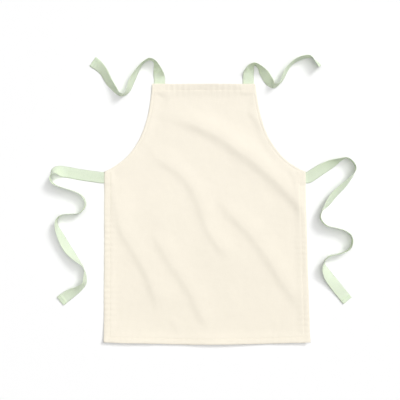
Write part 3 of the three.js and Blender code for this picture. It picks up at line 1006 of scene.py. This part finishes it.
class APRON_OT_ties(bpy.types.Operator):
    """Makes the four twill-tape ties, each one tape from its sewn end to its free end"""
    bl_idname = "apron.ties"
    bl_label = "Ties"

    def execute(self, context):
        settings = context.scene.apron
        tape = material_named("herringbone_tape", settings)
        thread = material_named("green_sewing_thread", settings)
        for name, tie in TIES.items():
            piece, s = tie_ribbon(name, tie, settings, tape)
            stitches = end_stitches(name, s, settings, thread)
            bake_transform(piece)
            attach(stitches, name)
            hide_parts(name, name + "_sewn_end")
            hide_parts(name + "_end_stitch")
            path = s["middle"][::3]
            if len(s["middle"]) % 3 != 1:
                path = np.vstack([path, s["middle"][-1]])
        return {"FINISHED"}


def end_stitches(name, s, settings, material):
    """A row of stitches across the turned-under end, on both faces of the tape."""
    index = len(s["middle"]) - 1 - int(round(END_STITCH_INSET / settings.section_step))
    half = TAPE_WIDTH / 2 - 0.0016
    runs = []
    for side in (1, -1):
        square = s["square"][index] * side
        middle = s["middle"][index] + square * (s["thickness"][index] / 2 + 0.0001)
        shares = np.linspace(-half, half, 9)
        points = middle + shares[:, None] * s["across"][index]
        points[:, 2] = np.maximum(points[:, 2], LOWEST_STITCH)
        runs.append((points, np.repeat(square[None], len(points), axis=0)))
    return stitched_piece(name + "_end_stitches", runs, material, settings,
                          pitch=END_STITCH_PITCH)


class APRON_OT_panel(bpy.types.Operator):
    """Makes the canvas panel with its hems, puckers and creases"""
    bl_idname = "apron.panel"
    bl_label = "Canvas panel"

    def execute(self, context):
        settings = context.scene.apron
        piece = body_panel(settings)
        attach(piece, "panel")
        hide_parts("body_panel")
        return {"FINISHED"}


def on_panel(line, settings, back=False):
    """A stitch run's points on the panel's face or back, with the ways up at them."""
    line = np.asarray(line, float)
    face, under = panel_heights(line, settings)
    step = 0.001
    slopes = []
    for axis in (0, 1):
        shift = np.zeros(2)
        shift[axis] = step
        ahead = panel_heights(line + shift, settings)[1 if back else 0]
        behind = panel_heights(line - shift, settings)[1 if back else 0]
        slopes.append((ahead - behind) / (2 * step))
    up = np.column_stack([-slopes[0], -slopes[1], np.ones(len(line))])
    up /= np.linalg.norm(up, axis=1)[:, None]
    lift = -0.00006 if back else 0.00006
    heights = np.maximum((under if back else face) + lift, LOWEST_STITCH)
    return np.column_stack([sheared(line), heights]), -up if back else up


def hem_runs(settings):
    """The stitch lines of the hems in the panel's pattern, by the name of their piece."""
    top = TOP_Y - HEMS["top"] + STITCH_INSET
    top_reach = NECK_TIE_X - TAPE_WIDTH / 2 - STITCH_INSET
    bottom = BOTTOM_Y + HEMS["bottom"] - STITCH_INSET
    bottom_reach = half_width_at(bottom) - STITCH_INSET
    runs = {
        "top_hem": even(np.array([(-top_reach, top), (top_reach, top)]), RUN_STEP),
        "bottom_hem": bottom_line(bottom, bottom_reach, RUN_STEP),
    }
    arm = armhole_line(RUN_STEP)
    run = np.gradient(arm, axis=0)
    inward = np.column_stack([run[:, 1], -run[:, 0]]) / np.linalg.norm(run, axis=1)[:, None]
    arm_line = arm + (HEMS["armhole"] - STITCH_INSET) * inward
    keep = (TOP_Y - arm[:, 1] > 0.0215) & (arm[:, 0] < CHEST_WIDTH / 2 - 0.0185)
    low, high = bottom + 0.0015, WAIST_TIE_Y - TAPE_WIDTH / 2 - 0.0015
    inset = HEMS["side"] - STITCH_INSET
    side_line = even(np.array([(half_width_at(low) - inset, low),
                               (half_width_at(high) - inset, high)]), RUN_STEP)
    for label, side in (("left", -1), ("right", 1)):
        mirror = np.array([side, 1])
        runs["armhole_" + label] = arm_line[keep] * mirror
        runs["side_hem_" + label] = side_line * mirror
    return runs


CAD_THREADS = {
    "top_hem": "top_hem_stitching", "bottom_hem": "bottom_hem_stitching",
    "armhole_left": "armhole_stitching_left", "armhole_right": "armhole_stitching_right",
    "side_hem_left": "side_hem_stitching_left", "side_hem_right": "side_hem_stitching_right",
}


class APRON_OT_hem_stitching(bpy.types.Operator):
    """Sews the hems, with stitches on the panel's face and back"""
    bl_idname = "apron.hem_stitching"
    bl_label = "Hem stitching"

    def execute(self, context):
        settings = context.scene.apron
        thread = material_named("cream_sewing_thread", settings)
        for name, line in hem_runs(settings).items():
            runs = [on_panel(line, settings), on_panel(line, settings, back=True)]
            piece = stitched_piece(name + "_stitches", runs, thread, settings)
            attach(piece, "panel")
            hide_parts(CAD_THREADS[name])
        return {"FINISHED"}


class APRON_OT_box_stitching(bpy.types.Operator):
    """Sews each tie to its hem with a stitched box and cross"""
    bl_idname = "apron.box_stitching"
    bl_label = "Box stitching"

    def execute(self, context):
        settings = context.scene.apron
        thread = material_named("cream_sewing_thread", settings)
        for name, tie in TIES.items():
            heading, side = directions(tie)
            half = TAPE_WIDTH / 2 - STITCH_INSET
            near, far = -STITCH_INSET, -tie["sewn"] + STITCH_INSET
            corners = [(near, half), (near, -half), (far, -half), (far, half)]
            lines = list(zip(corners, corners[1:] + corners[:1]))
            lines += [(corners[0], corners[2]), (corners[1], corners[3])]
            runs = []
            for a, b in lines:
                ends = [np.array(tie["edge"]) + heading * x + side * y for x, y in (a, b)]
                run = ends[1] - ends[0]
                gap = BOX_CORNER_GAP * run / np.linalg.norm(run)
                line = even(np.array([ends[0] + gap, ends[1] - gap]), 0.001)
                line[:, 0] -= lean_at(line[:, 1])
                runs.append(on_panel(line, settings))
            piece = stitched_piece(name + "_box_stitches", runs, thread, settings,
                                   pitch=BOX_STITCH_PITCH)
            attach(piece, "panel")
            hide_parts(name + "_box_stitch")
        return {"FINISHED"}


class APRON_OT_cloth_facts(bpy.types.Operator):
    bl_idname = "apron.cloth_facts"
    bl_label = "Cloth facts"

    def execute(self, context):
        stitches = [name + "_stitches" for name in CAD_THREADS]
        stitches += [name + "_box_stitches" for name in TIES]
        return {"FINISHED"}


class APRON_PT_sidebar(bpy.types.Panel):
    """Lists the apron's settings and its making, in order"""
    bl_idname = "APRON_PT_sidebar"
    bl_label = "Bib apron"
    bl_space_type = "VIEW_3D"
    bl_region_type = "UI"
    bl_category = "Apron"

    def draw(self, context):
        layout = self.layout
        for operator in OPERATORS:
            layout.operator(operator.bl_idname)
        for settings in (context.scene.apron, context.scene.apron_stage):
            column = layout.column()
            for name in settings.bl_rna.properties.keys():
                if name not in ("rna_type", "name"):
                    column.prop(settings, name)


OPERATORS = (APRON_OT_stage, APRON_OT_ties, APRON_OT_panel, APRON_OT_hem_stitching,
             APRON_OT_box_stitching, APRON_OT_cloth_facts)
CLASSES = (ApronSettings, StageSettings) + OPERATORS + (APRON_PT_sidebar,)


def register():
    for kind in CLASSES:
        bpy.utils.register_class(kind)
    bpy.types.Scene.apron = bpy.props.PointerProperty(type=ApronSettings)
    bpy.types.Scene.apron_stage = bpy.props.PointerProperty(type=StageSettings)


def unregister():
    del bpy.types.Scene.apron_stage
    del bpy.types.Scene.apron
    for kind in reversed(CLASSES):
        bpy.utils.unregister_class(kind)


def main():
    register()
    bpy.ops.apron.stage()
    bpy.ops.apron.ties()
    bpy.ops.apron.panel()
    bpy.ops.apron.hem_stitching()
    bpy.ops.apron.box_stitching()
    bpy.ops.apron.cloth_facts()


if __name__ == "__main__":
    main()
